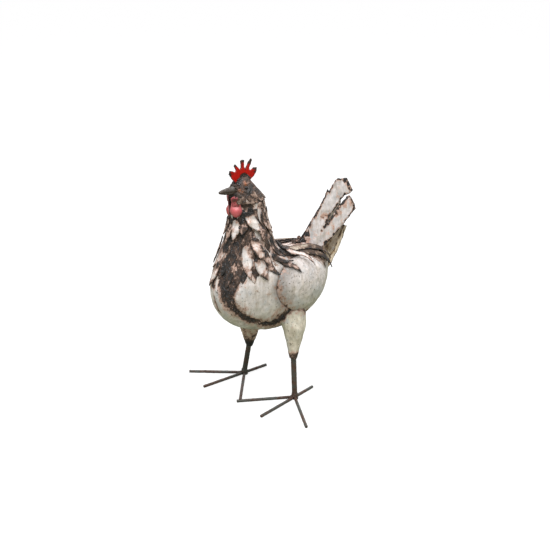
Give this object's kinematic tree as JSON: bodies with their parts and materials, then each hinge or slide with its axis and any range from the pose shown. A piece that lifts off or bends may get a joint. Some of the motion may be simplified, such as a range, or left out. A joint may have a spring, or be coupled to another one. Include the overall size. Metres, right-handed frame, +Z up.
{
  "type": "hen garden statue",
  "caption": "Standing hen garden statue, welded from hammered sheet steel and rod, with rust showing through white paint.",
  "frame": {"origin": "on the ground, under the middle of the statue's box", "axes": "+Z up; the hen faces -Y and its left side is +X"},
  "size_m": [0.3404, 0.3556, 0.4815],
  "materials": {
    "skin_paint": "worn off-white paint over brown rust",
    "rusted_skin": "dark brown rust with grey weld",
    "comb_paint": "bright red paint, dark at its points",
    "wattle_paint": "red to pink paint",
    "eye": "black gloss",
    "rod": "dark rusted steel"
  },
  "bodies": {
    "root": {"body": "skin_paint", "head": "rusted_skin", "beak": "rusted_skin", "comb": "comb_paint", "collar_1": "skin_paint", "collar_2": "skin_paint", "collar_3": "skin_paint", "collar_4": "skin_paint", "collar_5": "skin_paint", "collar_6": "skin_paint", "collar_7": "skin_paint", "collar_8": "skin_paint", "collar_9": "skin_paint", "collar_10": "skin_paint", "collar_11": "skin_paint", "hackle_1": "skin_paint", "hackle_2": "skin_paint", "hackle_3": "skin_paint", "hackle_4": "skin_paint", "hackle_5": "skin_paint", "hackle_6": "skin_paint", "hackle_7": "skin_paint", "hackle_8": "skin_paint", "hackle_9": "skin_paint", "hackle_10": "skin_paint", "shoulder_1": "skin_paint", "shoulder_2": "skin_paint", "shoulder_3": "skin_paint", "shoulder_4": "skin_paint", "shoulder_5": "skin_paint", "eye_left": "eye", "wattle_left": "wattle_paint", "wing_left": "skin_paint", "saddle_left_1": "skin_paint", "saddle_left_2": "skin_paint", "saddle_left_3": "skin_paint", "tail_left": "skin_paint", "thigh_left": "skin_paint", "leg_left": "rod", "foot_left_boss": "rod", "foot_left_long_toe": "rod", "foot_left_right_toe": "rod", "foot_left_left_toe": "rod", "eye_right": "eye", "wattle_right": "wattle_paint", "wing_right": "skin_paint", "saddle_right_1": "skin_paint", "saddle_right_2": "skin_paint", "saddle_right_3": "skin_paint", "tail_right": "skin_paint", "thigh_right": "skin_paint", "leg_right": "rod", "foot_right_boss": "rod", "foot_right_long_toe": "rod", "foot_right_right_toe": "rod", "foot_right_left_toe": "rod", "tail_cover": "skin_paint"}
  },
  "joints": []
}
